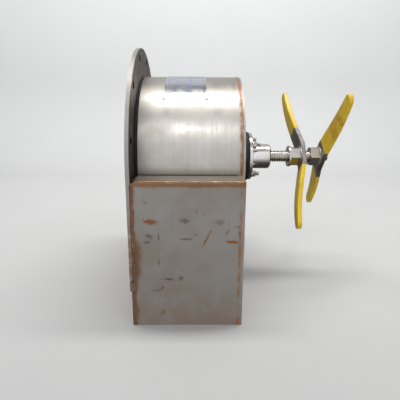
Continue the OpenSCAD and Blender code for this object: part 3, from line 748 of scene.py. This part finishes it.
def makeWelds():
    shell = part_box("drum_shell")
    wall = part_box("chute_front_wall")
    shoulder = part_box("front_shoulder")
    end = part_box("end_plate")
    rusty = weldSteel("rusty_weld", (0.52, 0.36, 0.24), (0.40, 0.20, 0.10), 0.75)
    grey = weldSteel("plain_weld", (0.50, 0.47, 0.43), (0.30, 0.18, 0.10), 0.25)
    brown = weldSteel("brown_weld", (0.38, 0.26, 0.18), (0.26, 0.12, 0.05), 0.8)

    x = np.arange(shell[0].x + 0.5 * mm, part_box("chute_end_wall")[1].x, 0.6 * mm)
    half = -wall[0].y

    def weld(name, bead, look):
        give(addSurface(name, [(bead, False, True)], "housing", 60), look)

    # along both sides: the chute's top edge, the drum's foot, and the plate's edge beside the chute
    slope = 0.7071
    for side, label in ((-1, "front"), (1, "rear")):
        outward = (0, side * slope, slope)
        edgeY, edgeZ = side * (half - 3.1 * mm), shoulder[1].z - 2.2 * mm
        edgePath = np.stack([x, np.full_like(x, edgeY), np.full_like(x, edgeZ)], axis=1)
        edgeSeed = 3 if side < 0 else 4
        weld(label + "_edge_weld",
             beadAlong(edgePath, 6.0 * mm, 2.9 * mm, (0, slope, side * -slope), outward, 0.10, 3.4 * mm, edgeSeed), rusty)
        footX = x[:-12]
        footPath = np.stack([footX, np.full_like(footX, side * 161.8 * mm), np.full_like(footX, shoulder[1].z)], axis=1)
        weld(label + "_foot_weld",
             beadAlong(footPath, 4.0 * mm, 1.1 * mm, (0, slope, side * slope), outward, 0.06, 2.6 * mm, 5), grey)
        z = np.arange(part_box("mounting_plate")[0].z + 3 * mm, wall[1].z - 2 * mm, 0.7 * mm)
        plateX, plateY = wall[0].x - 0.6 * mm, side * 216.3 * mm
        platePath = np.stack([np.full_like(z, plateX), np.full_like(z, plateY), z], axis=1)
        across, away = (0.92, side * 0.38, 0), (-0.38, side * 0.92, 0)
        weld(label + "_plate_weld", beadAlong(platePath, 4.4 * mm, 1.6 * mm, across, away, 0.14, 3.6 * mm, 7), brown)

    # round the drum's end, over the top from shoulder to shoulder
    radius = end[1].z
    dip = math.asin(10 * mm / radius)
    a = np.arange(-dip, math.pi + dip, 0.7 * mm / radius)
    ringPath = np.stack([np.full_like(a, end[0].x), -radius * np.cos(a), radius * np.sin(a)], axis=1)
    outward = np.stack([np.zeros_like(a), -np.cos(a), np.sin(a)], axis=1)
    seam = beadAlong(ringPath, 3.6 * mm, 0.8 * mm, (1, 0, 0), outward, 0.10, 3.0 * mm, 11)
    weld("drum_end_weld", seam, rusty)
    # below, where the end plate laps on the chute's end wall
    a = np.arange(math.pi + dip, 2 * math.pi - dip, 0.7 * mm / radius)
    lapPath = np.stack([np.full_like(a, end[0].x), -radius * np.cos(a), radius * np.sin(a)], axis=1)
    outward = np.stack([np.zeros_like(a), -np.cos(a), np.sin(a)], axis=1)
    slant = (outward - np.array([1, 0, 0])) / math.sqrt(2)
    normal = (outward + np.array([1, 0, 0])) / math.sqrt(2)
    lap = beadAlong(lapPath, 5.4 * mm, 1.8 * mm, slant, normal, 0.12, 3.2 * mm, 13)
    weld("end_plate_weld", lap, grey)

    # nuts to levers
    for name, nut, body in (("lock_nut_weld", "lock_nut", "lock_nut_set"), ("hand_nut_weld", "hand_nut", "spindle_set")):
        a = np.linspace(0, 2 * np.pi, 160, endpoint=True)[:-1]
        nutRadius = 19.3 * mm
        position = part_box(nut)[1].x
        path = np.stack([np.full_like(a, position), nutRadius * np.cos(a), nutRadius * np.sin(a)], axis=1)
        outward = np.stack([np.zeros_like(a), np.cos(a), np.sin(a)], axis=1)
        b = np.linspace(0, 2 * np.pi, 14, endpoint=False)
        drops = 1 + 0.12 * np.abs(np.sin(a * 20)) + 0.08 * np.sin(a * 3 + 1)
        grid = (path[:, None, :] + (1.9 * mm * drops)[:, None, None]
                * (np.cos(b)[None, :, None] * outward[:, None, :] + np.sin(b)[None, :, None] * np.array([1.0, 0, 0])))
        give(addSurface(name, [(grid, True, True)], body, 60), grey)


room = {
    "left": -3,
    "right": 3.4,
    "front": -3,
    "wallStart": 1.2,
    "bend": 0.5,
    "height": 3.2,
}


def makeStage():
    # one sheet: the floor, a quarter circle of the given bend, and the wall behind it
    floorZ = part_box("chute_end_wall")[0].z
    steps = np.linspace(0, math.pi / 2, 12)
    y = np.concatenate([[room["front"]], room["wallStart"] + room["bend"] * np.sin(steps)])
    z = np.concatenate([[0], room["bend"] * (1 - np.cos(steps))])
    y = np.append(y, room["wallStart"] + room["bend"])
    z = np.append(z, room["height"]) + floorZ
    sheet = np.stack([np.stack([np.full_like(y, edge), y, z], axis=-1) for edge in (room["left"], room["right"])], axis=1)
    mesh = bpy.data.meshes.new("studio_floor")
    count = sheet.shape[0]
    index = np.arange(count * 2).reshape(count, 2)
    quads = np.stack([index[:-1, 0], index[:-1, 1], index[1:, 1], index[1:, 0]], axis=-1)
    mesh.from_pydata(sheet.reshape(-1, 3).tolist(), [], quads.tolist())
    mesh.shade_smooth()
    floor = bpy.data.objects.new("studio_floor", mesh)
    bpy.context.scene.collection.objects.link(floor)
    material, tree, surface, place = startMaterial("studio_paint")
    clouds = grain(tree, place, 3, 3, 0.5)
    put(tree, tint(tree, clouds, (0.56, 0.56, 0.55), (0.60, 0.60, 0.59)), surface.inputs["Base Color"])
    surface.inputs["Roughness"].default_value = 0.85
    mesh.materials.append(material)
    floor.visible_glossy = False  # bright metal mirrors the dim lower half of the studio instead


lamps = [
    # name, place, aim, width, height, watts
    ("key", (0.10, -1.15, 1.12), (0.11, -0.12, 0.06), 0.14, 0.12, 2),
    ("wall_wash", (0.2, 0.1, 2.2), (0.2, 1.6, 0.3), 2.6, 0.5, 62),
]

studio = {
    "strength": 1.0,
    "light": (0.93, 0.95, 1.0),
    "dark": (0.050, 0.042, 0.036),
    "sides": 0.20,
    "left": 0.45,
    "overhead": 0.24,
    "behind": 0.60,
}


def makeLights():
    for name, place, aim, width, height, watts in lamps:
        light = bpy.data.lights.new(name, "AREA")
        light.shape = "RECTANGLE"
        light.size = width
        light.size_y = height
        light.energy = watts
        holder = bpy.data.objects.new(name, light)
        bpy.context.scene.collection.objects.link(holder)
        holder.location = place
        holder.rotation_euler = (Vector(aim) - Vector(place)).to_track_quat("-Z", "Y").to_euler()
    # a broad bright front that fades towards the floor, a bright upper back, dim sides and ceiling
    world = bpy.data.worlds.new("studio_world")
    bpy.context.scene.world = world
    world.use_nodes = True
    tree = world.node_tree
    back = tree.nodes["Background"]
    x, y, z = axes(tree, tree.nodes.new("ShaderNodeTexCoord").outputs["Generated"])
    above = fade(tree, z, -0.92, -0.04)
    ceiling = fade(tree, z, 0.72, 0.88, 1.0, studio["overhead"])
    front = fade(tree, y, 0.10, -0.60, studio["sides"], 1.0)
    front = times(tree, front, fade(tree, x, -0.95, -0.45, studio["left"], 1.0))
    behind = times(tree, fade(tree, y, 0.15, 0.45, 0, studio["behind"]), fade(tree, z, 0.15, 0.35))
    level = calc(tree, "MAXIMUM", times(tree, above, front), behind)
    level = times(tree, level, ceiling)
    put(tree, tint(tree, level, studio["dark"], studio["light"]), back.inputs["Color"])
    back.inputs["Strength"].default_value = studio["strength"]


view = {
    "place": (0.1144, -0.8285, 0.1200),
    "yaw": 0.0118,
    "down": 0.2578,
    "roll": 0.0049,
    "lens": 34.64,
}


def makeCamera():
    camera = bpy.data.cameras.new("camera")
    camera.lens = view["lens"]
    camera.sensor_width = 36
    holder = bpy.data.objects.new("camera", camera)
    bpy.context.scene.collection.objects.link(holder)
    yaw, down, roll = view["yaw"], view["down"], view["roll"]
    ahead = Vector((math.sin(yaw) * math.cos(down), math.cos(yaw) * math.cos(down), -math.sin(down)))
    right = Vector((math.cos(yaw), -math.sin(yaw), 0))
    up = right.cross(ahead)
    rolledRight = math.cos(roll) * right + math.sin(roll) * up
    rolledUp = -math.sin(roll) * right + math.cos(roll) * up
    turn = Matrix((rolledRight, rolledUp, -ahead)).transposed().to_4x4()
    holder.matrix_world = Matrix.Translation(view["place"]) @ turn
    bpy.context.scene.camera = holder
    bpy.context.scene.view_settings.view_transform = "Standard"


makeCamera()
makeLights()
makeStage()
print("camera, lights and floor made")

makeLevers()
makeSpindle()
makeStuds()
makeWelds()
print("levers, threads and welds made")

dress(drumSteel(), "drum_shell")
dress(plateSteel(), "mounting_plate")
dress(chuteSteel("front_wall_stainless", True), "chute_front_wall")
plainChute = chuteSteel("chute_stainless", False)
dress(plainChute, "chute_rear_wall", "chute_end_wall", "chute_inlet_wall")
dress(shoulderSteel(), "front_shoulder", "rear_shoulder")
endMetal = softMetal("end_plate_stainless", (0.46, 0.43, 0.40), 0.42)
dress(endMetal, "end_plate")
dress(namePlateMetal(), "name_plate")
dress(brightSteel("tack_steel", (0.80, 0.78, 0.75), 0.22, False, 0.2), "name_plate_tacks")
dress(blackRubber("joint_rubber", (0.004, 0.004, 0.004), 0.7), "joint_seal")
dress(blackRubber("gland_black", (0.003, 0.003, 0.003), 0.6), "gland_disc")
dress(blackRubber("disc_rubber", (0.02, 0.02, 0.02), 0.6), "disc_seal")
dress(brightSteel("bushing_steel", (0.80, 0.77, 0.74), 0.16, True, 0.35), "spindle_bushing")
dress(brightSteel("nut_steel", (0.62, 0.60, 0.56), 0.26, False, 0.4), "hand_nut", "lock_nut")
dress(brightSteel("fastener_steel", (0.66, 0.63, 0.60), 0.20, False, 0.5), "bushing_nuts", "bushing_washers",
      "end_washer", "end_screw", "cap_screws", "retainer_screws", "lock_washer")
dress(brightSteel("disc_stainless", (0.60, 0.58, 0.55), 0.30, False, 0.4), "valve_disc", "seal_retainer", "seat_ring",
      "swivel_housing", "swivel_cap")
dress(softMetal("bronze", (0.60, 0.38, 0.16), 0.32), "thrust_washers")
dress(softMetal("packing", (0.62, 0.60, 0.54), 0.75, 0.0), "packing_rings")
print("finishes given")
